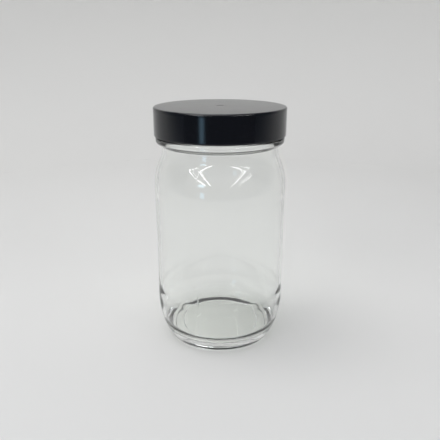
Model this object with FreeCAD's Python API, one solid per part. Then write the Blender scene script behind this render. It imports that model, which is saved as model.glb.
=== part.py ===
"""A wide-mouth glass canister of about 0.9 litre, in millimetres: a moulded glass jar, a smooth screw cap and
the liner disc inside it. The jar stands on its foot ring at z = 0, with its axis on Z. The cap is shown screwed
down, with the liner pressed flat on the rim of the jar."""

import FreeCAD, Part
import math
import os

# Mouth of the jar, which the cap, the liner and the whole jar are sized from
FINISH_R = 42.7  # glass wall behind the thread
FINISH_H = 17.2  # rim down to the top of the carrying bead
THREAD_DEPTH = 1.4  # how far the glass thread stands out of that wall
THREAD_CREST = 1.3  # width of its rounded-off top
THREAD_TURNS = 1.1
THREAD_START = 3.4  # rim down to the middle of the thread's upper end
PITCH = 5.08  # five turns to the inch
RIM_OUTER_ROUND = 1.2
RIM_INNER_ROUND = 1.0

# Carrying bead under the thread, and the neck below it
BEAD_PROUD = 0.75  # beyond the crest of the thread
BEAD_H = 3.7
BEAD_UNDERCUT = 1.6  # height of the sloping underside
BEAD_LOWER_ROUND = 1.6
BEAD_UPPER_ROUND = 1.0
BEAD_TOP_STEP = 0.3
NECK_INSET = 1.9  # neck inside the finish wall
NECK_LENGTH = 8.65  # bead down to the corner where the shoulder starts
NECK_FILLET = 1.2

# Shoulder, body and heel
JAR_H = 166.2
WALL = 2.5
SHOULDER_STEP = 6.0  # body outside the neck
SHOULDER_ANGLE = 25.0  # degrees off the axis
SHOULDER_ROUND = 43.0
NECK_ROUND = 17.0
INNER_SHOULDER_ANGLE = 24.0  # the blown inside turns in more gently than the moulded outside
INNER_SHOULDER_ROUND = 44.0
INNER_NECK_ROUND = 20.0
INNER_NECK_DROP = 0.3  # inner corner of the neck below the outer one
PANEL_DEPTH = 0.3  # label panel, inside the two contact bands
PANEL_BOTTOM = 39.0
PANEL_TOP_DROP = 58.2  # rim down to the top of the panel
PANEL_RAMP = 4.0
PANEL_ROUND = 25.0
HEEL_Z = 14.0  # corner between the body and the heel, before it is rounded
HEEL_ANGLE = 28.7  # degrees off the axis
HEEL_ROUND = 56.0

# Foot ring, hollowed underside and floor
FOOT_WIDTH = 2.6
FOOT_OUTER_ROUND = 1.2
FOOT_INNER_ROUND = 0.4
FOOT_STEP = 1.0
FOOT_STEP_RUN = 0.8
PUSH_UP = 3.5  # height of the underside's centre
BASE_RING_INSET = 7.0  # foot ring in to the edge of the plate that forms the underside's middle
BASE_RING_STEP = 0.5
BASE_RING_ROUND = 0.3
DOME_RISE = 1.0
DOME_ROUND = 350.0
FLOOR = 4.0  # glass at the centre
FLOOR_FALL = 0.9  # from the centre out to the corner
FLOOR_ROUND = 700.0
FLOOR_CORNER_ROUND = 11.0
HEEL_INNER_Z = 24.0
HEEL_INNER_ROUND = 80.0
HEEL_INNER_INSET = 3.4

# Cap and liner
CAP_WALL = 1.3
CAP_TOP = 2.0
CAP_GAP = 0.4  # crest of the glass thread to the wall of the cap
CAP_THREAD_GAP = 0.5  # crest of the cap's thread to the glass wall
SKIRT_GAP = 1.0  # skirt to the top of the bead
CAP_EDGE_ROUND = 1.1
CAP_LIP_ROUND = 0.35
CAP_INSIDE_ROUND = 0.4
GATE_R = 2.6  # mark of the moulding gate, in the middle of the top
GATE_DEPTH = 0.2
CAP_THREAD_CREST = 1.2
CAP_THREAD_TURNS = 1.5
CAP_THREAD_RISE = 1.9  # lower end of the cap's thread above the edge of the skirt
THREAD_GAP = 0.15  # between the flanks that carry the load
LINER_T = 1.0
LINER_GAP = 0.5  # liner to the wall of the cap

# Thread form shared by the glass and the cap
FLANK_ANGLE = 30.0
THREAD_SINK = 0.7  # how deep a ridge is rooted in its wall, less than either wall
FADE_TURNS = 0.08
FADE_SINK = 0.3  # how far below the wall a faded end lies
SECTIONS_PER_TURN = 72

# Worked out from the sizes above
NECK_R = FINISH_R - NECK_INSET
BODY_R = NECK_R + SHOULDER_STEP
BORE_R = NECK_R - WALL
THREAD_R = FINISH_R + THREAD_DEPTH
BEAD_R = THREAD_R + BEAD_PROUD
BEAD_TOP_Z = JAR_H - FINISH_H
BEAD_BOTTOM_Z = BEAD_TOP_Z - BEAD_H
NECK_Z = BEAD_BOTTOM_Z - NECK_LENGTH
SHOULDER_Z = NECK_Z - SHOULDER_STEP / math.tan(math.radians(SHOULDER_ANGLE))
FOOT_R = BODY_R - HEEL_Z * math.tan(math.radians(HEEL_ANGLE))
THREAD_FIRST_Z = JAR_H - THREAD_START - PITCH * THREAD_TURNS
CAP_BORE_R = THREAD_R + CAP_GAP
CAP_R = CAP_BORE_R + CAP_WALL
CAP_INSIDE_Z = JAR_H + LINER_T
CAP_TOP_Z = CAP_INSIDE_Z + CAP_TOP
SKIRT_Z = BEAD_TOP_Z + SKIRT_GAP
LINER_R = CAP_BORE_R - LINER_GAP
CAP_THREAD_R = FINISH_R + CAP_THREAD_GAP
FLANK_SLOPE = math.tan(math.radians(FLANK_ANGLE))
LEAST_EDGE = 1e-4
MOST_ROUNDED = 0.95  # share of a straight side that its roundings may take up


def rounded_outline(corners):
    """A closed wire in the XZ plane through corners (r, z, rounding). Each rounding is an arc tangent to both
    sides, made smaller where a side is too short for it."""
    points = [FreeCAD.Vector(r, 0, z) for r, z, _ in corners]
    count = len(points)
    ways = [(points[(i + 1) % count] - points[i]).normalize() for i in range(count)]
    lengths = [(points[(i + 1) % count] - points[i]).Length for i in range(count)]
    half_turns = [ways[i - 1].getAngle(ways[i]) / 2 for i in range(count)]
    reach = [corners[i][2] * math.tan(half_turns[i]) for i in range(count)]
    room = [1.0] * count
    for i in range(count):
        after = (i + 1) % count
        share = MOST_ROUNDED * lengths[i] / max(reach[i] + reach[after], LEAST_EDGE)
        room[i] = min(room[i], share)
        room[after] = min(room[after], share)
    reach = [reach[i] * room[i] for i in range(count)]
    edges = []
    for i in range(count):
        after = (i + 1) % count
        start = points[i] - ways[i - 1] * reach[i]
        end = points[i] + ways[i] * reach[i]
        if reach[i] > LEAST_EDGE:
            radius = reach[i] / math.tan(half_turns[i])
            inward = (ways[i] - ways[i - 1]).normalize()
            middle = points[i] + inward * (radius / math.cos(half_turns[i]) - radius)
            edges.append(Part.Arc(start, middle, end).toShape())
        side_end = points[after] - ways[i] * reach[after]
        if (side_end - end).Length > LEAST_EDGE:
            edges.append(Part.LineSegment(end, side_end).toShape())
    return Part.Wire(Part.__sortEdges__(edges))


def turned(corners):
    """The solid that the outline sweeps in a full turn about Z."""
    face = Part.Face(rounded_outline(corners))
    return face.revolve(FreeCAD.Vector(0, 0, 0), FreeCAD.Vector(0, 0, 1), 360)


def thread_corners(turn, middle_z, root_r, crest_r, crest_width):
    """Four corners of a thread ridge's section, standing at that turn about Z."""
    root_width = crest_width + 2 * abs(crest_r - root_r) * FLANK_SLOPE
    corners = [
        (root_r, -root_width / 2),
        (crest_r, -crest_width / 2),
        (crest_r, crest_width / 2),
        (root_r, root_width / 2),
    ]
    angle = 2 * math.pi * turn
    return [FreeCAD.Vector(r * math.cos(angle), r * math.sin(angle), middle_z + z) for r, z in corners]


def thread_ridge(wall_r, depth, crest_width, first_turn, turns, first_z):
    """A helical ridge on a wall of radius wall_r. A positive depth stands outward and a negative one inward.
    Both ends fade until they lie under the surface of the wall."""
    outward = 1 if depth > 0 else -1
    root_r = wall_r - outward * THREAD_SINK
    count = round(turns * SECTIONS_PER_TURN)
    stations = [turns * i / count for i in range(count + 1)]
    sections = []
    for along in stations:
        fade = min(1.0, along / FADE_TURNS, (turns - along) / FADE_TURNS)
        eased = fade * fade * (3 - 2 * fade)
        crest_r = wall_r + outward * ((abs(depth) + FADE_SINK) * eased - FADE_SINK)
        sections.append(thread_corners(first_turn + along, first_z + PITCH * along, root_r, crest_r, crest_width))
    rails = []
    for corner in range(4):
        curve = Part.BSplineCurve()
        curve.interpolate(Points=[section[corner] for section in sections], Parameters=stations)
        rails.append(curve.toShape())
    sides = [Part.makeRuledSurface(rails[i - 1], rails[i]) for i in range(4)]
    ends = [Part.Face(Part.makePolygon(section + section[:1])) for section in (sections[0], sections[-1])]
    shell = Part.makeShell(sides + ends)
    shell.sewShape()
    return Part.makeSolid(shell)


def jar_underside():
    """Corners from the centre of the underside out to the heel."""
    foot_inner_r = FOOT_R - FOOT_WIDTH
    step_r = foot_inner_r - FOOT_STEP_RUN
    ring_r = step_r - BASE_RING_INSET
    ring_z = PUSH_UP - DOME_RISE
    return [
        (0, PUSH_UP, 0),
        (ring_r / 2, PUSH_UP, DOME_ROUND),
        (ring_r, ring_z, BASE_RING_ROUND),
        (ring_r + BASE_RING_STEP, ring_z - BASE_RING_STEP, BASE_RING_ROUND),
        (step_r, FOOT_STEP, FOOT_INNER_ROUND),
        (foot_inner_r, 0, FOOT_INNER_ROUND),
        (FOOT_R, 0, FOOT_OUTER_ROUND),
        (BODY_R, HEEL_Z, HEEL_ROUND),
    ]


def jar_outside():
    """Corners up the label panel, shoulder, neck, bead and finish, to the outer edge of the rim."""
    panel_r = BODY_R - PANEL_DEPTH
    panel_top = JAR_H - PANEL_TOP_DROP
    return [
        (BODY_R, PANEL_BOTTOM - PANEL_RAMP, PANEL_ROUND),
        (panel_r, PANEL_BOTTOM, PANEL_ROUND),
        (panel_r, panel_top, PANEL_ROUND),
        (BODY_R, panel_top + PANEL_RAMP, PANEL_ROUND),
        (BODY_R, SHOULDER_Z, SHOULDER_ROUND),
        (NECK_R, NECK_Z, NECK_ROUND),
        (NECK_R, BEAD_BOTTOM_Z - BEAD_UNDERCUT, NECK_FILLET),
        (BEAD_R, BEAD_BOTTOM_Z, BEAD_LOWER_ROUND),
        (BEAD_R, BEAD_TOP_Z, BEAD_UPPER_ROUND),
        (FINISH_R, BEAD_TOP_Z + BEAD_TOP_STEP, BEAD_TOP_STEP),
        (FINISH_R, JAR_H, RIM_OUTER_ROUND),
    ]


def jar_inside():
    """Corners from the inner edge of the rim down the bore and the wall to the centre of the floor."""
    inside_r = BODY_R - WALL
    neck_z = NECK_Z - INNER_NECK_DROP
    shoulder_z = neck_z - (inside_r - BORE_R) / math.tan(math.radians(INNER_SHOULDER_ANGLE))
    floor_z = PUSH_UP + FLOOR
    return [
        (BORE_R, JAR_H, RIM_INNER_ROUND),
        (BORE_R, neck_z, INNER_NECK_ROUND),
        (inside_r, shoulder_z, INNER_SHOULDER_ROUND),
        (inside_r, HEEL_INNER_Z, HEEL_INNER_ROUND),
        (inside_r - HEEL_INNER_INSET, floor_z - FLOOR_FALL, FLOOR_CORNER_ROUND),
        (inside_r / 3, floor_z, FLOOR_ROUND),
        (0, floor_z, 0),
    ]


def glass_thread():
    """The jar's thread, from its lower end upward."""
    return thread_ridge(FINISH_R, THREAD_DEPTH, THREAD_CREST, 0.0, THREAD_TURNS, THREAD_FIRST_Z)


def glass_jar():
    return turned(jar_underside() + jar_outside() + jar_inside()).fuse(glass_thread())


def cap_thread():
    """The cap's thread. It follows the jar's helix, below it by the two half-widths and the flank gap."""
    half_widths = (THREAD_CREST + CAP_THREAD_CREST) / 2 + (THREAD_R - CAP_THREAD_R) * FLANK_SLOPE
    first_z = SKIRT_Z + CAP_THREAD_RISE
    first_turn = (first_z + half_widths + THREAD_GAP - THREAD_FIRST_Z) / PITCH
    depth = CAP_BORE_R - CAP_THREAD_R
    return thread_ridge(CAP_BORE_R, -depth, CAP_THREAD_CREST, first_turn, CAP_THREAD_TURNS, first_z)


def screw_cap():
    shell = turned([
        (0, CAP_TOP_Z - GATE_DEPTH, 0),
        (GATE_R - GATE_DEPTH, CAP_TOP_Z - GATE_DEPTH, GATE_DEPTH),
        (GATE_R, CAP_TOP_Z, GATE_DEPTH),
        (CAP_R, CAP_TOP_Z, CAP_EDGE_ROUND),
        (CAP_R, SKIRT_Z, CAP_LIP_ROUND),
        (CAP_BORE_R, SKIRT_Z, CAP_LIP_ROUND),
        (CAP_BORE_R, CAP_INSIDE_Z, CAP_INSIDE_ROUND),
        (0, CAP_INSIDE_Z, 0),
    ])
    return shell.fuse(cap_thread())


def cap_liner():
    return Part.makeCylinder(LINER_R, LINER_T, FreeCAD.Vector(0, 0, JAR_H))


def capacity_ml():
    """What the jar holds, filled to the rim."""
    return turned([(0, JAR_H, 0)] + jar_inside()).Volume / 1000


def main():
    os.makedirs("parts", exist_ok=True)
    for make in (glass_jar, screw_cap, cap_liner):
        shape = make()
        name = make.__name__
        box = shape.optimalBoundingBox()
        shape.exportStep(f"parts/{name}.step")
        print(
            f"{name}: {len(shape.Solids)} solid, valid {shape.isValid()}, {shape.Volume / 1000:.2f} cm3, "
            f"{box.XLength:.2f} x {box.YLength:.2f} x {box.ZLength:.2f} mm, top at {box.ZMax:.2f}"
        )
    print(f"brimful {capacity_ml():.0f} ml, cap {2 * CAP_R:.1f} mm across")


main()
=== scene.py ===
"""A glass canister with a screw cap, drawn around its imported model: the jar, the cap, the liner in the cap
and a small studio to show them in. Lengths are in metres."""

import math

import bmesh
import bpy
from bpy.props import FloatProperty, FloatVectorProperty, IntProperty, PointerProperty
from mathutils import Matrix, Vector


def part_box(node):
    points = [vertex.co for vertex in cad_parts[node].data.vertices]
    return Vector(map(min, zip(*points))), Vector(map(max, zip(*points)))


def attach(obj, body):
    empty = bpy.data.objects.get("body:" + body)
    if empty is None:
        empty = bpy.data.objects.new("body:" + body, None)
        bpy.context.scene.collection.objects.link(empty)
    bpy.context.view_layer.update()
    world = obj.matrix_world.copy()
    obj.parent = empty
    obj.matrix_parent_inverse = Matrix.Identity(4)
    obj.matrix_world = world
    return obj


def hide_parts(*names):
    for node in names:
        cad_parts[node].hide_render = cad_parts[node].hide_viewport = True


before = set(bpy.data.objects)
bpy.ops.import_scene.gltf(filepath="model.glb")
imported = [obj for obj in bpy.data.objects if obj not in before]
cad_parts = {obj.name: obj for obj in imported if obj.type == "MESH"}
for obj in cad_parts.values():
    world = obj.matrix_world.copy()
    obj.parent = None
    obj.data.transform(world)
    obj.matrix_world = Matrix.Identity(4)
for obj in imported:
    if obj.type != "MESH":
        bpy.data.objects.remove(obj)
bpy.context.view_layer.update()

bl_info = {
    "name": "Glass Canister",
    "version": (1, 0, 0),
    "blender": (4, 5, 0),
    "location": "3D View > Sidebar > Canister",
    "description": "Draws a wide-mouth glass canister with a screw cap",
    "category": "Add Mesh",
}

MM = 0.001

JAR_LOW, JAR_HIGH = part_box("glass_jar")
CAP_LOW, CAP_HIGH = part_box("screw_cap")
LINER_LOW, LINER_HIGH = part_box("cap_liner")
RIM_Z = JAR_HIGH.z
MOST_ROUNDED = 0.95  # share of a straight side that its roundings may take up
LEAST_LENGTH = 1e-7

# Both threads
FLANK_SLOPE = math.tan(math.radians(30))
THREAD_FADE = 0.08  # turns over which each end of a thread runs out

# Underside of the jar, from the foot ring to the middle
FOOT_ROUND = 0.4 * MM
FOOT_FLARE = 0.8 * MM  # how far the foot ring's inner side leans in
FOOT_DEPTH = 1.0 * MM  # from the ground up to the hollow's edge
BASE_RING_INSET = 7.0 * MM  # hollow's edge to the ring round its crown
BASE_RING_STEP = 0.5 * MM
BASE_RING_ROUND = 0.2 * MM
CROWN_DROP = 1.0 * MM  # middle of the underside down to that ring
CROWN_ROUND = 350 * MM

# Fine grooves across the foot ring
KNURLS = 132
KNURL_INNER_MARGIN = 0.3 * MM
KNURL_OUTER_MARGIN = 0.6 * MM
LEVEL_WITH_GROUND = 0.05 * MM  # points no higher than this are on the flat of the foot ring

# Outside of the jar, from the ground up
FOOT_EDGE_ROUND = 1.2 * MM
HEEL_ROUND = 56 * MM
PANEL_DEPTH = 0.3 * MM  # how far the label panel is set in from the bands above and below it
PANEL_BOTTOM = 39 * MM
PANEL_TOP_DROP = 58.2 * MM  # rim down to the top of the panel
PANEL_RAMP = 4 * MM
PANEL_ROUND = 25 * MM
SHOULDER_ANGLE = math.radians(25)
SHOULDER_ROUND = 43 * MM
NECK_ROUND = 17 * MM
UNDER_BEAD = 1.6 * MM  # height of the slope from the neck out to the bead
UNDER_BEAD_ROUND = 1.2 * MM
BEAD_LOWER_ROUND = 1.6 * MM
BEAD_UPPER_ROUND = 1.0 * MM
SHELF_INSET = 0.4 * MM  # wall behind the thread out to the bead's sloped top
SHELF_RISE = 0.25 * MM
FINISH_ROOT_RISE = 0.35 * MM
FINISH_ROOT_ROUND = 0.3 * MM
RIM_OUTER_ROUND = 1.2 * MM
RIM_INNER_ROUND = 1.0 * MM
RIM_MIDDLE = 2.2 * MM  # from the wall behind the thread in to the middle of the rim

# Seams that the mould's two halves leave on the outside
SEAMS = (math.radians(71), math.radians(251))
SEAM_START = 4 * MM
SEAM_RISE = 10 * MM
SEAM_END = 2 * MM
SEAM_CLEARING = 1.2  # seam widths kept clear of the even columns
SEAM_COLUMNS = (1 / 4, 2 / 4, 4 / 4)  # columns each side of a seam, in seam widths

# Inside of the jar, from the neck down
INNER_NECK_DROP = 0.3 * MM
INNER_NECK_ROUND = 20 * MM
INNER_SHOULDER_ANGLE = math.radians(24)
INNER_SHOULDER_ROUND = 44 * MM
INNER_HEEL_Z = 24 * MM
INNER_HEEL_ROUND = 80 * MM
INNER_HEEL_INSET = 3.4 * MM
FLOOR_CORNER_DROP = 0.9 * MM
FLOOR_CORNER_ROUND = 11 * MM
FLOOR_ROUND = 700 * MM
UNEVEN_FADE = 30 * MM  # the waves die away this far from the bead and from the axis
# Slow waves of the blown inside. Each has its size, its waves round the jar, its phase and its lean in radians
# per metre of height, then the waves round and the lean of a second wave that swells it. A swell of 0, 0
# changes nothing.
WAVES = (
    (0.50, 2, 0.7, 9, 0, 0),
    (0.30, 3, 2.1, -17, 0, 0),
    (0.22, 5, 4.0, 31, 1, 40),
    (0.10, 9, 1.3, -12, 0, 0),
)

# Inside of the cap, and the liner
LIP_BAND = 0.5 * MM  # plain band above the skirt's edge
CAP_CORNER_ROUND = 0.4 * MM
CAP_CORNER_REACH = 1.0 * MM
PRINT_ROUND = 0.3 * MM
LINER_COLUMNS = 180

# Studio
FLOOR_RINGS = (0, 0.05, 0.2, 0.4, 0.62)
FLOOR_COLUMNS = 96
BEND_RADIUS = 0.35
BEND_ROWS = 12
WALL_TOPS = (0.8, 1.4)
BACKDROP_START = -30  # degrees from X
BACKDROP_TURN = 240  # degrees
BACKDROP_COLUMNS = 72
WHITE = (1.0, 1.0, 1.0)
PALE_BLUE = (0.6, 0.83, 1.0)
SKY_BLUE = (0.45, 0.75, 1.0)
# Each lamp has its name, place, aim, size, watts and colour.
LAMPS = (
    ("overhead_softbox", (-0.25, -0.15, 1.25), (0, 0, 0.05), (0.7, 0.7), 3.0, WHITE),
    ("wall_wash", (-0.35, 0.1, 1.35), (-0.15, 0.9, 0.36), (1.4, 0.6), 6.8, WHITE),
    ("window_strip", (-0.37, -0.66, 0.045), (0, 0, 0.14), (0.10, 0.13), 0.085, SKY_BLUE),
    ("window_pane", (-0.40, -0.66, 0.26), (0, 0, 0.14), (0.13, 0.08), 0.12, PALE_BLUE),
)
# Long ceiling strips run from front to back, behind the camera. Each has its X and watts.
CEILING_STRIPS = ((-1.4, 26.0), (-2.3, 28.0), (1.8, 26.0), (2.9, 26.0))
STRIP_Y = -3.0
STRIP_Z = 1.4
STRIP_SIZE = (0.10, 4.0)
STRIP_TILT = 0.1  # how far towards the jar the strips aim, which sets their long side front to back


def length(default, name, description):
    """A length the user can set, in metres."""
    return FloatProperty(
        name=name,
        description=description,
        default=default,
        min=0.0,
        precision=5,
        unit="LENGTH",
        subtype="DISTANCE",
    )


def colour(code, name, description):
    """A colour the user can set, from its sRGB hex code."""
    return FloatVectorProperty(
        name=name, description=description, default=linear(code), size=4, min=0.0, max=1.0, subtype="COLOR"
    )


def linear(code):
    """The linear colour of an sRGB hex code, opaque."""
    parts = [int(code[i:i + 2], 16) / 255 for i in (1, 3, 5)]
    return [p / 12.92 if p <= 0.04045 else ((p + 0.055) / 1.055) ** 2.4 for p in parts] + [1.0]


class JarSettings(bpy.types.PropertyGroup):
    """Sizes and colour of the glass jar."""

    finish_radius: length(42.7 * MM, "Finish Radius", "Glass wall behind the thread")
    finish_height: length(17.2 * MM, "Finish Height", "Rim down to the top of the carrying bead")
    thread_depth: length(1.4 * MM, "Thread Depth", "How far the thread stands out of the glass")
    thread_crest: length(1.3 * MM, "Thread Crest", "Width of the thread's top")
    thread_start: length(3.4 * MM, "Thread Start", "Rim down to the thread's upper end")
    thread_turns: FloatProperty(
        name="Thread Turns", description="Turns of the glass thread", default=1.1, min=0.5
    )
    pitch: length(5.08 * MM, "Pitch", "Rise of the thread in one turn")
    bead_radius: length(44.85 * MM, "Bead Radius", "Carrying bead under the cap")
    bead_height: length(3.7 * MM, "Bead Height", "Height of the carrying bead")
    neck_radius: length(40.8 * MM, "Neck Radius", "Narrowest part, under the bead")
    neck_length: length(8.65 * MM, "Neck Length", "Bead down to the corner of the shoulder")
    wall: length(2.5 * MM, "Wall", "Glass of the neck and body")
    floor: length(4.0 * MM, "Floor", "Glass at the middle of the floor")
    heel_height: length(14.0 * MM, "Heel Height", "Corner between the heel and the body")
    foot_radius: length(39.136 * MM, "Foot Radius", "Outer edge of the foot ring")
    foot_width: length(2.6 * MM, "Foot Width", "Width of the foot ring")
    push_up: length(3.5 * MM, "Push-up", "Height of the middle of the underside")
    knurl: length(0.12 * MM, "Knurl", "Depth of the fine grooves across the foot ring")
    seam: length(0.10 * MM, "Seam", "How far the mould's parting line stands out")
    seam_width: length(0.5 * MM, "Seam Width", "Width of the mould's parting line")
    unevenness: length(0.22 * MM, "Unevenness", "How far the blown inside strays from a true round")
    columns: IntProperty(name="Columns", description="Mesh columns round the jar", default=264, min=48)
    tint: colour("#FDFEFD", "Tint", "Colour of the glass")


class CapSettings(bpy.types.PropertyGroup):
    """Sizes and colour of the screw cap."""

    wall: length(1.3 * MM, "Wall", "Plastic of the skirt")
    top: length(2.0 * MM, "Top", "Plastic of the top")
    edge_round: length(1.1 * MM, "Edge Round", "Rounding of the upper edge")
    lip_round: length(0.35 * MM, "Lip Round", "Rounding of the skirt's lower edge")
    thread_depth: length(1.3 * MM, "Thread Depth", "How far the thread stands in from the skirt")
    thread_crest: length(1.2 * MM, "Thread Crest", "Width of the thread's top")
    thread_rise: length(1.9 * MM, "Thread Rise", "Lower end of the thread above the skirt's edge")
    thread_gap: length(0.15 * MM, "Thread Gap", "Gap between the cap's thread and the jar's")
    thread_turns: FloatProperty(
        name="Thread Turns", description="Turns of the cap's thread", default=1.5, min=0.5
    )
    gate_radius: length(2.6 * MM, "Gate Radius", "Mark of the moulding gate on the top")
    gate_depth: length(0.1 * MM, "Gate Depth", "Depth of the gate mark")
    columns: IntProperty(name="Columns", description="Mesh columns round the cap", default=240, min=48)
    plastic: colour("#070A11", "Plastic", "Colour of the cap")


class LinerSettings(bpy.types.PropertyGroup):
    """Sizes and colour of the liner disc."""

    edge_round: length(0.2 * MM, "Edge Round", "Rounding of the die-cut edge")
    print_depth: length(0.06 * MM, "Print Depth", "Groove that the rim has pressed into the foam")
    print_inner: length(39.0 * MM, "Print Inner Radius", "Inner edge of that groove")
    print_outer: length(41.8 * MM, "Print Outer Radius", "Outer edge of that groove")
    foam: colour("#ECEBE6", "Foam", "Colour of the liner")


class StudioSettings(bpy.types.PropertyGroup):
    """Camera, lamps and backdrop."""

    camera_distance: length(0.3510, "Camera Distance", "Level distance from the jar's axis")
    camera_height: length(0.2086, "Camera Height", "Height above the floor")
    camera_pitch: FloatProperty(
        name="Camera Pitch",
        description="How far the camera looks down",
        default=math.radians(19.2),
        subtype="ANGLE",
    )
    lens: FloatProperty(name="Lens", description="Focal length in millimetres", default=41.16, min=1.0)
    paper: colour("#D9D8D5", "Paper", "Colour of the floor and backdrop")


def rounded_outline(corners, step):
    """Points along an outline through corners (r, z, rounding), with an arc tangent to both sides at each
    inner corner. Each point is about a step from the next, and closer on small arcs."""
    points = [Vector((r, z)) for r, z, _ in corners]
    ways = [(b - a).normalized() for a, b in zip(points, points[1:])]
    lengths = [(b - a).length for a, b in zip(points, points[1:])]
    half_turns = [0.0] + [a.angle(b) / 2 for a, b in zip(ways, ways[1:])] + [0.0]
    reach = [corner[2] * math.tan(half) for corner, half in zip(corners, half_turns)]
    room = [1.0] * len(points)
    for i, side in enumerate(lengths):
        share = MOST_ROUNDED * side / max(reach[i] + reach[i + 1], LEAST_LENGTH)
        room[i] = min(room[i], share)
        room[i + 1] = min(room[i + 1], share)
    reach = [r * fit for r, fit in zip(reach, room)]
    line = [points[0]]
    for i in range(1, len(points)):
        start = line[-1]
        end = points[i] - ways[i - 1] * reach[i]
        count = max(1, round((end - start).length / step))
        line += [start.lerp(end, k / count) for k in range(1, count + 1)]
        if reach[i] > LEAST_LENGTH:
            line += arc_points(points[i], ways[i - 1], ways[i], reach[i], half_turns[i], step)
    return [(p.x, p.y) for p in line]


def arc_points(corner, way_in, way_out, reach, half_turn, step):
    """Points of the arc that rounds a corner, after its first."""
    radius = reach / math.tan(half_turn)
    centre = corner + (way_out - way_in).normalized() * (radius / math.cos(half_turn))
    first = corner - way_in * reach - centre
    side = 1 if way_in.x * way_out.y - way_in.y * way_out.x > 0 else -1
    count = max(3, math.ceil(2 * half_turn * radius / step))
    made = []
    for k in range(1, count + 1):
        angle = side * 2 * half_turn * k / count
        cos, sin = math.cos(angle), math.sin(angle)
        made.append(centre + Vector((first.x * cos - first.y * sin, first.x * sin + first.y * cos)))
    return made


def smooth(x):
    """0 below 0, 1 above 1, and an even rise between."""
    x = min(1.0, max(0.0, x))
    return x * x * (3 - 2 * x)


def ridge_height(angle, z, thread):
    """How far a thread ridge stands out of its wall at that angle and height."""
    highest = 0.0
    for lap in range(-1, math.ceil(thread["turns"]) + 1):
        along = (angle / (2 * math.pi) - thread["first_turn"]) % 1.0 + lap
        if not 0 < along < thread["turns"]:
            continue
        fade = smooth(min(along, thread["turns"] - along) / THREAD_FADE)
        off = abs(z - thread["first_z"] - thread["pitch"] * along)
        flank = (thread["crest"] / 2 + thread["depth"] * FLANK_SLOPE - off) / FLANK_SLOPE
        highest = max(highest, fade * min(thread["depth"], max(0.0, flank)))
    return highest


def turned_mesh(name, rows, angles):
    """A smooth closed mesh object from rows, each a function of the angle that gives (r, z). The first and the
    last row are poles, at r = 0, unless the mesh is a flat disc, which only starts at one."""
    mesh = bmesh.new()
    rings = []
    for row in rows:
        if row(0.0)[0] < LEAST_LENGTH:
            rings.append([mesh.verts.new((0, 0, row(0.0)[1]))])
            continue
        ring = []
        for angle in angles:
            r, z = row(angle)
            ring.append(mesh.verts.new((r * math.cos(angle), r * math.sin(angle), z)))
        rings.append(ring)
    count = len(angles)
    for low, high in zip(rings, rings[1:]):
        for i in range(count):
            j = (i + 1) % count
            corners = [low[i % len(low)], low[j % len(low)], high[j % len(high)], high[i % len(high)]]
            face = mesh.faces.new(list(dict.fromkeys(corners)))
            face.smooth = True
    bmesh.ops.recalc_face_normals(mesh, faces=mesh.faces)
    return linked_object(name, mesh)


def linked_object(name, mesh):
    """An object in the scene, made from a bmesh that is then freed."""
    data = bpy.data.meshes.new(name)
    mesh.to_mesh(data)
    mesh.free()
    piece = bpy.data.objects.new(name, data)
    bpy.context.scene.collection.objects.link(piece)
    return piece


def even_angles(count):
    """Angles round a whole turn."""
    return [2 * math.pi * i / count for i in range(count)]


def still(point):
    """A row of turned_mesh that is the same all the way round."""
    return lambda angle: point


def add_node(tree, kind, inputs=None, **settings):
    """Adds a node, sets its properties, and gives each input a value or the socket that feeds it."""
    made = tree.nodes.new(kind)
    for name, value in settings.items():
        setattr(made, name, value)
    for name, value in (inputs or {}).items():
        if isinstance(value, bpy.types.NodeSocket):
            tree.links.new(value, made.inputs[name])
        else:
            made.inputs[name].default_value = value
    return made


def new_material(name):
    """A material with an empty node tree, and that tree."""
    material = bpy.data.materials.new(name)
    material.use_nodes = True
    material.node_tree.nodes.clear()
    return material, material.node_tree


def per(size):
    """The scale of a pattern whose features are this many metres across."""
    return 1 / size


# Soda-lime glass, blown in an iron mould. It is clear with a hard gloss. A slow ripple about 14 mm across
# bends what is seen through the walls a little, and some patches about 22 mm across are handled to a barely
# duller gloss. Light for the jar's shadow passes straight through, as it mostly does through thin clear glass.
def moulded_glass(tint):
    material, tree = new_material("moulded_soda_lime_glass")
    place = add_node(tree, "ShaderNodeTexCoord").outputs["Object"]
    ripple = add_node(
        tree, "ShaderNodeTexNoise", {"Vector": place, "Scale": per(14 * MM), "Detail": 1.0, "Roughness": 0.4}
    )
    bump = add_node(
        tree, "ShaderNodeBump", {"Height": ripple.outputs["Fac"], "Strength": 0.25, "Distance": 0.05 * MM}
    )
    haze = add_node(
        tree, "ShaderNodeTexNoise", {"Vector": place, "Scale": per(22 * MM), "Detail": 4.0, "Roughness": 0.6}
    )
    rough = add_node(
        tree,
        "ShaderNodeMapRange",
        {"Value": haze.outputs["Fac"], "From Min": 0.45, "From Max": 0.8, "To Min": 0.0, "To Max": 0.012},
    )
    glass = add_node(
        tree,
        "ShaderNodeBsdfPrincipled",
        {
            "Base Color": tint,
            "Roughness": rough.outputs["Result"],
            "IOR": 1.52,
            "Transmission Weight": 1.0,
            "Normal": bump.outputs["Normal"],
        },
    )
    clear = add_node(tree, "ShaderNodeBsdfTransparent", {"Color": (0.9, 0.91, 0.9, 1.0)})
    path = add_node(tree, "ShaderNodeLightPath")
    mix = add_node(
        tree,
        "ShaderNodeMixShader",
        {0: path.outputs["Is Shadow Ray"], 1: glass.outputs[0], 2: clear.outputs[0]},
    )
    add_node(tree, "ShaderNodeOutputMaterial", {"Surface": mix.outputs[0]})
    return material


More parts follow.
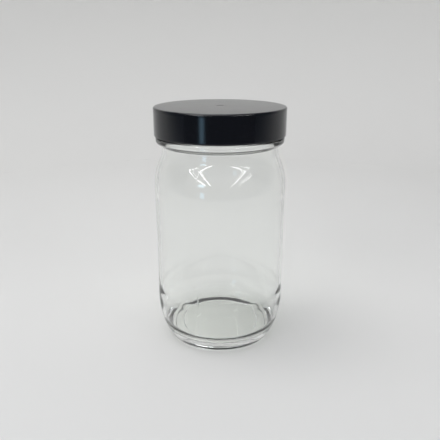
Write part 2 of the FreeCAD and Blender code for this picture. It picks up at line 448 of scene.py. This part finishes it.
# Polypropylene, injection moulded black in a polished tool. It has a deep soft gloss, duller in patches about
# 17 mm across and along hair scratches, some 9 mm long and 0.3 mm wide, that run round the skirt from being
# turned by hand. A fine orange peel, 0.8 mm across, mottles the edges of what it reflects.
def moulded_polypropylene(plastic):
    material, tree = new_material("moulded_black_polypropylene")
    place = add_node(tree, "ShaderNodeTexCoord").outputs["Object"]
    patches = add_node(
        tree, "ShaderNodeTexNoise", {"Vector": place, "Scale": per(17 * MM), "Detail": 5.0, "Roughness": 0.6}
    )
    gloss = add_node(
        tree,
        "ShaderNodeMapRange",
        {"Value": patches.outputs["Fac"], "From Min": 0.3, "From Max": 0.7, "To Min": 0.08, "To Max": 0.13},
    )
    long_way = per(9 * MM)
    across = per(0.3 * MM)
    drawn_out = add_node(tree, "ShaderNodeMapping", {"Vector": place, "Scale": (long_way, long_way, across)})
    hairs = add_node(
        tree, "ShaderNodeTexNoise", {"Vector": drawn_out.outputs[0], "Scale": 1.0, "Detail": 1.0}
    )
    dulled = add_node(
        tree,
        "ShaderNodeMapRange",
        {"Value": hairs.outputs["Fac"], "From Min": 0.6, "From Max": 0.72, "To Min": 0.0, "To Max": 0.12},
    )
    facing = add_node(tree, "ShaderNodeNewGeometry").outputs["Normal"]
    upward = add_node(tree, "ShaderNodeSeparateXYZ", {"Vector": facing}).outputs["Z"]
    on_skirt = add_node(
        tree,
        "ShaderNodeMapRange",
        {"Value": upward, "From Min": 0.1, "From Max": 0.5, "To Min": 1.0, "To Max": 0.0},
    )
    rough = add_node(
        tree,
        "ShaderNodeMath",
        {0: dulled.outputs["Result"], 1: on_skirt.outputs["Result"], 2: gloss.outputs["Result"]},
        operation="MULTIPLY_ADD",
    )
    peel = add_node(tree, "ShaderNodeTexNoise", {"Vector": place, "Scale": per(0.8 * MM), "Detail": 2.0})
    bump = add_node(
        tree, "ShaderNodeBump", {"Height": peel.outputs["Fac"], "Strength": 0.8, "Distance": 0.04 * MM}
    )
    body = add_node(
        tree,
        "ShaderNodeBsdfPrincipled",
        {"Base Color": plastic, "Roughness": rough.outputs[0], "IOR": 1.49, "Normal": bump.outputs["Normal"]},
    )
    add_node(tree, "ShaderNodeOutputMaterial", {"Surface": body.outputs[0]})
    return material


# Polyethylene foamed into a sheet and die-cut. It is white and dull, with closed cells 0.4 mm across that
# dimple it.
def foamed_polyethylene(foam):
    material, tree = new_material("foamed_white_polyethylene")
    place = add_node(tree, "ShaderNodeTexCoord").outputs["Object"]
    cells = add_node(tree, "ShaderNodeTexVoronoi", {"Vector": place, "Scale": per(0.4 * MM)})
    bump = add_node(
        tree, "ShaderNodeBump", {"Height": cells.outputs["Distance"], "Strength": 0.4, "Distance": 0.05 * MM}
    )
    body = add_node(
        tree,
        "ShaderNodeBsdfPrincipled",
        {"Base Color": foam, "Roughness": 0.6, "IOR": 1.5, "Normal": bump.outputs["Normal"]},
    )
    add_node(tree, "ShaderNodeOutputMaterial", {"Surface": body.outputs[0]})
    return material


# Matt paper, rolled from the floor up into the backdrop. Its colour carries painted shade: it goes smoothly
# from pale behind the object to a cool grey far off at the sides and in front, where it meets the studio's
# grey air.
# That grey is painted in place of light falling off, not the paper's own colour.
def paper_sweep(paper):
    material, tree = new_material("backdrop_paper_with_painted_shade")
    place = add_node(tree, "ShaderNodeTexCoord").outputs["Object"]
    away = add_node(tree, "ShaderNodeVectorMath", {0: place}, operation="LENGTH").outputs["Value"]
    behind = add_node(tree, "ShaderNodeSeparateXYZ", {"Vector": place}).outputs["Y"]
    depth = add_node(tree, "ShaderNodeMath", {0: away, 1: -1.2, 2: behind}, operation="MULTIPLY_ADD")
    fade = add_node(
        tree,
        "ShaderNodeMapRange",
        {"Value": depth.outputs[0], "From Min": -1.36, "From Max": -0.70},
        interpolation_type="SMOOTHSTEP",
    )
    # Painted shade: the paper's colour is mixed towards a cool grey (#757A80) at the sides and in front,
    # standing in for light falling off.
    shade = add_node(
        tree, "ShaderNodeMix", {0: fade.outputs["Result"], 6: linear("#757A80"), 7: paper}, data_type="RGBA"
    )
    body = add_node(tree, "ShaderNodeBsdfPrincipled", {"Base Color": shade.outputs[2], "Roughness": 0.9})
    add_node(tree, "ShaderNodeOutputMaterial", {"Surface": body.outputs[0]})
    return material


def place_piece(piece, body, node, material):
    """Gives a piece its material and its place in the frame."""
    piece.data.materials.append(material)
    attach(piece, body)
    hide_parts(node)


def jar_thread(jar):
    """The jar's thread, which starts at the X axis and ends under the rim."""
    return {
        "first_turn": 0.0,
        "first_z": RIM_Z - jar.thread_start - jar.pitch * jar.thread_turns,
        "pitch": jar.pitch,
        "turns": jar.thread_turns,
        "depth": jar.thread_depth,
        "crest": jar.thread_crest,
    }


def cap_thread(jar, cap):
    """The cap's thread, below the jar's by their half-widths and the gap."""
    glass = jar_thread(jar)
    bore = CAP_HIGH.x - cap.wall
    overlap = jar.finish_radius + jar.thread_depth - bore + cap.thread_depth
    half_widths = (jar.thread_crest + cap.thread_crest) / 2 + overlap * FLANK_SLOPE
    first_z = CAP_LOW.z + cap.thread_rise
    return {
        "first_turn": (first_z + half_widths + cap.thread_gap - glass["first_z"]) / jar.pitch,
        "first_z": first_z,
        "pitch": jar.pitch,
        "turns": cap.thread_turns,
        "depth": cap.thread_depth,
        "crest": cap.thread_crest,
    }


class CANISTER_OT_glass_jar(bpy.types.Operator):
    """Draw the moulded glass jar"""

    bl_idname = "canister.glass_jar"
    bl_label = "Glass Jar"

    def execute(self, context):
        jar = context.scene.canister_jar
        thread = jar_thread(jar)
        rows = [self.foot_row(p, jar) for p in self.underside(jar)]
        rows += [self.outside_row(p, jar) for p in self.outside(jar)[1:]]
        rows += [self.finish_row(p, thread) for p in self.finish(jar)[1:]]
        rows += [self.inside_row(p, jar) for p in self.inside(jar)[1:]]
        piece = turned_mesh("jar_of_clear_glass", rows, self.columns(jar))
        place_piece(piece, "jar", "glass_jar", moulded_glass(jar.tint))
        return {"FINISHED"}

    @staticmethod
    def bead_heights(jar):
        """The bottom and the top of the carrying bead."""
        top = RIM_Z - jar.finish_height
        return top - jar.bead_height, top

    @staticmethod
    def underside(jar):
        """The hollowed underside, from its middle out to the middle of the foot ring."""
        foot_inner = jar.foot_radius - jar.foot_width
        edge_r = foot_inner - FOOT_FLARE
        ring_r = edge_r - BASE_RING_INSET
        ring_z = jar.push_up - CROWN_DROP
        return rounded_outline([
            (0, jar.push_up, 0),
            (ring_r / 2, jar.push_up, CROWN_ROUND),
            (ring_r, ring_z, BASE_RING_ROUND),
            (ring_r + BASE_RING_STEP, ring_z - BASE_RING_STEP, BASE_RING_ROUND),
            (edge_r, FOOT_DEPTH, FOOT_ROUND),
            (foot_inner, 0, FOOT_ROUND),
            ((foot_inner + jar.foot_radius) / 2, 0, 0),
        ], step=0.9 * MM)

    @classmethod
    def outside(cls, jar):
        """The outside, from the middle of the foot ring up to the sloped top of the bead."""
        bead_bottom, bead_top = cls.bead_heights(jar)
        foot_inner = jar.foot_radius - jar.foot_width
        body_r = JAR_HIGH.x
        panel_r = body_r - PANEL_DEPTH
        panel_top = RIM_Z - PANEL_TOP_DROP
        neck_z = bead_bottom - jar.neck_length
        shoulder_z = neck_z - (body_r - jar.neck_radius) / math.tan(SHOULDER_ANGLE)
        return rounded_outline([
            ((foot_inner + jar.foot_radius) / 2, 0, 0),
            (jar.foot_radius, 0, FOOT_EDGE_ROUND),
            (body_r, jar.heel_height, HEEL_ROUND),
            (body_r, PANEL_BOTTOM - PANEL_RAMP, PANEL_ROUND),
            (panel_r, PANEL_BOTTOM, PANEL_ROUND),
            (panel_r, panel_top, PANEL_ROUND),
            (body_r, panel_top + PANEL_RAMP, PANEL_ROUND),
            (body_r, shoulder_z, SHOULDER_ROUND),
            (jar.neck_radius, neck_z, NECK_ROUND),
            (jar.neck_radius, bead_bottom - UNDER_BEAD, UNDER_BEAD_ROUND),
            (jar.bead_radius, bead_bottom, BEAD_LOWER_ROUND),
            (jar.bead_radius, bead_top, BEAD_UPPER_ROUND),
            (jar.finish_radius + SHELF_INSET, bead_top + SHELF_RISE, 0),
        ], step=1.6 * MM)

    @classmethod
    def finish(cls, jar):
        """The threaded wall, from the bead's sloped top up to the middle of the rim."""
        bead_top = cls.bead_heights(jar)[1]
        return rounded_outline([
            (jar.finish_radius + SHELF_INSET, bead_top + SHELF_RISE, 0),
            (jar.finish_radius, bead_top + FINISH_ROOT_RISE, FINISH_ROOT_ROUND),
            (jar.finish_radius, RIM_Z, RIM_OUTER_ROUND),
            (jar.finish_radius - RIM_MIDDLE, RIM_Z, 0),
        ], step=0.28 * MM)

    @classmethod
    def inside(cls, jar):
        """The inside, from the middle of the rim down to the middle of the floor."""
        bore = jar.neck_radius - jar.wall
        inside_r = JAR_HIGH.x - jar.wall
        neck_z = cls.bead_heights(jar)[0] - jar.neck_length - INNER_NECK_DROP
        shoulder_z = neck_z - (inside_r - bore) / math.tan(INNER_SHOULDER_ANGLE)
        floor_z = jar.push_up + jar.floor
        return rounded_outline([
            (jar.finish_radius - RIM_MIDDLE, RIM_Z, 0),
            (bore, RIM_Z, RIM_INNER_ROUND),
            (bore, neck_z, INNER_NECK_ROUND),
            (inside_r, shoulder_z, INNER_SHOULDER_ROUND),
            (inside_r, INNER_HEEL_Z, INNER_HEEL_ROUND),
            (inside_r - INNER_HEEL_INSET, floor_z - FLOOR_CORNER_DROP, FLOOR_CORNER_ROUND),
            (inside_r / 3, floor_z, FLOOR_ROUND),
            (0, floor_z, 0),
        ], step=2.0 * MM)

    @staticmethod
    def columns(jar):
        """Even angles, with more of them across the two mould seams."""
        seam_angle = jar.seam_width / JAR_HIGH.x
        fine = [side * seam_angle * share for side in (-1, 1) for share in SEAM_COLUMNS] + [0.0]
        angles = even_angles(jar.columns)
        for seam in SEAMS:
            angles = [a for a in angles if abs(a - seam) > SEAM_CLEARING * seam_angle]
            angles += [seam + a for a in fine]
        return sorted(angles)

    @staticmethod
    def foot_row(point, jar):
        """A row of the underside. The flat of the foot ring has fine radial grooves."""
        r, z = point
        inner = jar.foot_radius - jar.foot_width + KNURL_INNER_MARGIN
        outer = jar.foot_radius - KNURL_OUTER_MARGIN
        if not inner < r < outer or z > LEVEL_WITH_GROUND:
            return still(point)
        return lambda angle: (r, z + jar.knurl * (0.5 + 0.5 * math.cos(KNURLS * angle)))

    @classmethod
    def outside_row(cls, point, jar):
        """A row of the outside, with a thin ridge where the mould's halves meet. It fades at both ends."""
        r, z = point
        if z < SEAM_START:
            return cls.foot_row(point, jar)
        bead_top = cls.bead_heights(jar)[1]
        share = smooth((z - SEAM_START) / SEAM_RISE) * smooth((bead_top - z) / SEAM_END)
        height = min(jar.seam * share, JAR_HIGH.x - r)

        def at(angle):
            off = min(abs(angle - seam) for seam in SEAMS) * JAR_HIGH.x / jar.seam_width
            return r + height * (1 - smooth(2 * off)), z

        return at

    @staticmethod
    def finish_row(point, thread):
        """A row of the threaded wall."""
        r, z = point
        return lambda angle: (r + ridge_height(angle, z, thread), z)

    @classmethod
    def inside_row(cls, point, jar):
        """A row of the blown inside, whose wall wanders slowly in and out below the pressed neck."""
        r, z = point
        bead_bottom = cls.bead_heights(jar)[0]
        share = jar.unevenness * smooth((bead_bottom - z) / UNEVEN_FADE) * smooth(r / UNEVEN_FADE)

        def at(angle):
            wave = 0.0
            for size, around, phase, lean, swell_around, swell_lean in WAVES:
                swell = math.cos(swell_lean * z + swell_around * angle)
                wave += size * math.sin(around * angle + phase + lean * z) * swell
            return r + share * wave, z

        return at


class CANISTER_OT_screw_cap(bpy.types.Operator):
    """Draw the black screw cap"""

    bl_idname = "canister.screw_cap"
    bl_label = "Screw Cap"

    def execute(self, context):
        jar = context.scene.canister_jar
        cap = context.scene.canister_cap
        outer = CAP_HIGH.x
        bore = outer - cap.wall
        inside_z = CAP_HIGH.z - cap.top
        shell = rounded_outline([
            (0, CAP_HIGH.z - cap.gate_depth, 0),
            (cap.gate_radius - cap.gate_depth, CAP_HIGH.z - cap.gate_depth, cap.gate_depth),
            (cap.gate_radius, CAP_HIGH.z, cap.gate_depth),
            (outer, CAP_HIGH.z, cap.edge_round),
            (outer, CAP_LOW.z, cap.lip_round),
            (bore, CAP_LOW.z, cap.lip_round),
            (bore, CAP_LOW.z + LIP_BAND, 0),
        ], step=1.2 * MM)
        threaded = rounded_outline([
            (bore, CAP_LOW.z + LIP_BAND, 0),
            (bore, inside_z, CAP_CORNER_ROUND),
            (bore - CAP_CORNER_REACH, inside_z, 0),
        ], step=0.28 * MM)
        ceiling = rounded_outline([(bore - CAP_CORNER_REACH, inside_z, 0), (0, inside_z, 0)], step=2.0 * MM)
        thread = cap_thread(jar, cap)
        rows = [still(p) for p in shell]
        rows += [self.threaded_row(p, thread) for p in threaded[1:]]
        rows += [still(p) for p in ceiling[1:]]
        piece = turned_mesh("cap_of_black_plastic", rows, even_angles(cap.columns))
        place_piece(piece, "cap", "screw_cap", moulded_polypropylene(cap.plastic))
        return {"FINISHED"}

    @staticmethod
    def threaded_row(point, thread):
        """A row of the skirt's inside."""
        r, z = point
        return lambda angle: (r - ridge_height(angle, z, thread), z)


class CANISTER_OT_cap_liner(bpy.types.Operator):
    """Draw the foam liner inside the cap"""

    bl_idname = "canister.cap_liner"
    bl_label = "Cap Liner"

    def execute(self, context):
        liner = context.scene.canister_liner
        low, high, outer = LINER_LOW.z, LINER_HIGH.z, LINER_HIGH.x
        print_z = low + liner.print_depth
        disc = rounded_outline([
            (0, low, 0),
            (liner.print_inner, low, PRINT_ROUND),
            (liner.print_inner + liner.print_depth, print_z, PRINT_ROUND),
            (liner.print_outer - liner.print_depth, print_z, PRINT_ROUND),
            (liner.print_outer, low, PRINT_ROUND),
            (outer, low, liner.edge_round),
            (outer, high, liner.edge_round),
            (0, high, 0),
        ], step=1.5 * MM)
        piece = turned_mesh("liner_of_white_foam", [still(p) for p in disc], even_angles(LINER_COLUMNS))
        place_piece(piece, "liner", "cap_liner", foamed_polyethylene(liner.foam))
        return {"FINISHED"}


def add_lamp(name, place, aim, size, power, shade):
    """A square or oblong soft lamp at a place, turned to its aim."""
    lamp = bpy.data.lights.new(name, "AREA")
    lamp.shape = "RECTANGLE"
    lamp.size, lamp.size_y = size
    lamp.energy = power
    lamp.color = shade
    holder = bpy.data.objects.new(name, lamp)
    holder.location = place
    holder.rotation_euler = (Vector(aim) - Vector(place)).to_track_quat("-Z", "Y").to_euler()
    bpy.context.scene.collection.objects.link(holder)


class CANISTER_OT_studio(bpy.types.Operator):
    """Set up the floor, backdrop, lamps and camera"""

    bl_idname = "canister.studio"
    bl_label = "Studio"

    def execute(self, context):
        studio = context.scene.canister_studio
        paper = paper_sweep(studio.paper)
        floor = turned_mesh("studio_floor", [still((r, 0)) for r in FLOOR_RINGS], even_angles(FLOOR_COLUMNS))
        for stage in (floor, self.backdrop()):
            stage.data.materials.append(paper)
        self.add_air(context.scene)
        for lamp in LAMPS:
            add_lamp(*lamp)
        for x, power in CEILING_STRIPS:
            name = "ceiling_strip_" + ("left" if x < 0 else "right") + str(round(abs(x) * 10))
            place = (x, STRIP_Y, STRIP_Z)
            add_lamp(name, place, (x, STRIP_Y + STRIP_TILT, 0.0), STRIP_SIZE, power, WHITE)
        context.scene.view_settings.view_transform = "Standard"
        self.add_camera(context.scene, studio)
        return {"FINISHED"}

    @staticmethod
    def add_air(scene):
        """The studio's air: grey at eye level and pale overhead, as under a white ceiling."""
        scene.world = bpy.data.worlds.new("studio_air")
        scene.world.use_nodes = True
        tree = scene.world.node_tree
        way = add_node(tree, "ShaderNodeTexCoord").outputs["Generated"]
        up = add_node(tree, "ShaderNodeSeparateXYZ", {"Vector": way}).outputs["Z"]
        level = add_node(
            tree,
            "ShaderNodeMapRange",
            {"Value": up, "From Min": 0.1, "From Max": 0.8, "To Min": 0.12, "To Max": 0.75},
            interpolation_type="SMOOTHSTEP",
        )
        air = tree.nodes["Background"]
        air.inputs["Color"].default_value = linear("#F4F7FF")
        tree.links.new(level.outputs["Result"], air.inputs["Strength"])

    @staticmethod
    def backdrop():
        """The paper from the floor's edge, round its bend and up the wall, round the back and sides."""
        floor_edge = FLOOR_RINGS[-1]
        turns = [math.pi / 2 * k / BEND_ROWS for k in range(BEND_ROWS + 1)]
        profile = [(floor_edge + BEND_RADIUS * math.sin(a), BEND_RADIUS * (1 - math.cos(a))) for a in turns]
        profile += [(floor_edge + BEND_RADIUS, top) for top in WALL_TOPS]
        shares = [k / BACKDROP_COLUMNS for k in range(BACKDROP_COLUMNS + 1)]
        angles = [math.radians(BACKDROP_START + BACKDROP_TURN * share) for share in shares]
        mesh = bmesh.new()
        rings = [[mesh.verts.new((r * math.cos(a), r * math.sin(a), z)) for a in angles] for r, z in profile]
        for low, high in zip(rings, rings[1:]):
            for i in range(BACKDROP_COLUMNS):
                face = mesh.faces.new([low[i], high[i], high[i + 1], low[i + 1]])
                face.smooth = True
        return linked_object("studio_backdrop", mesh)

    @staticmethod
    def add_camera(scene, studio):
        """The camera, level in X and tilted down by its pitch."""
        camera = bpy.data.cameras.new("camera")
        camera.sensor_width = 36.0
        camera.lens = studio.lens
        camera.clip_start = 0.01
        camera.clip_end = 20.0
        holder = bpy.data.objects.new("camera", camera)
        holder.location = (0, -studio.camera_distance, studio.camera_height)
        holder.rotation_euler = (math.pi / 2 - studio.camera_pitch, 0, 0)
        scene.collection.objects.link(holder)
        scene.camera = holder


class VIEW3D_PT_canister(bpy.types.Panel):
    """Lists the canister's pieces and their sizes"""

    bl_label = "Glass Canister"
    bl_idname = "VIEW3D_PT_canister"
    bl_space_type = "VIEW_3D"
    bl_region_type = "UI"
    bl_category = "Canister"

    def draw(self, context):
        scene = context.scene
        for settings, operator in (
            (scene.canister_jar, CANISTER_OT_glass_jar),
            (scene.canister_cap, CANISTER_OT_screw_cap),
            (scene.canister_liner, CANISTER_OT_cap_liner),
            (scene.canister_studio, CANISTER_OT_studio),
        ):
            box = self.layout.box()
            box.operator(operator.bl_idname)
            for name in settings.__annotations__:
                box.prop(settings, name)


CLASSES = (
    JarSettings,
    CapSettings,
    LinerSettings,
    StudioSettings,
    CANISTER_OT_glass_jar,
    CANISTER_OT_screw_cap,
    CANISTER_OT_cap_liner,
    CANISTER_OT_studio,
    VIEW3D_PT_canister,
)
SETTINGS = {
    "canister_jar": JarSettings,
    "canister_cap": CapSettings,
    "canister_liner": LinerSettings,
    "canister_studio": StudioSettings,
}


def register():
    """Adds the operators, the panel and the settings."""
    for made in CLASSES:
        bpy.utils.register_class(made)
    for name, group in SETTINGS.items():
        setattr(bpy.types.Scene, name, PointerProperty(type=group))


def unregister():
    """Takes away what register() added."""
    for name in SETTINGS:
        delattr(bpy.types.Scene, name)
    for made in reversed(CLASSES):
        bpy.utils.unregister_class(made)


def main():
    """Draws the studio and the pieces."""
    register()
    bpy.ops.canister.studio()
    bpy.ops.canister.glass_jar()
    bpy.ops.canister.screw_cap()
    bpy.ops.canister.cap_liner()


if __name__ == "__main__":
    main()
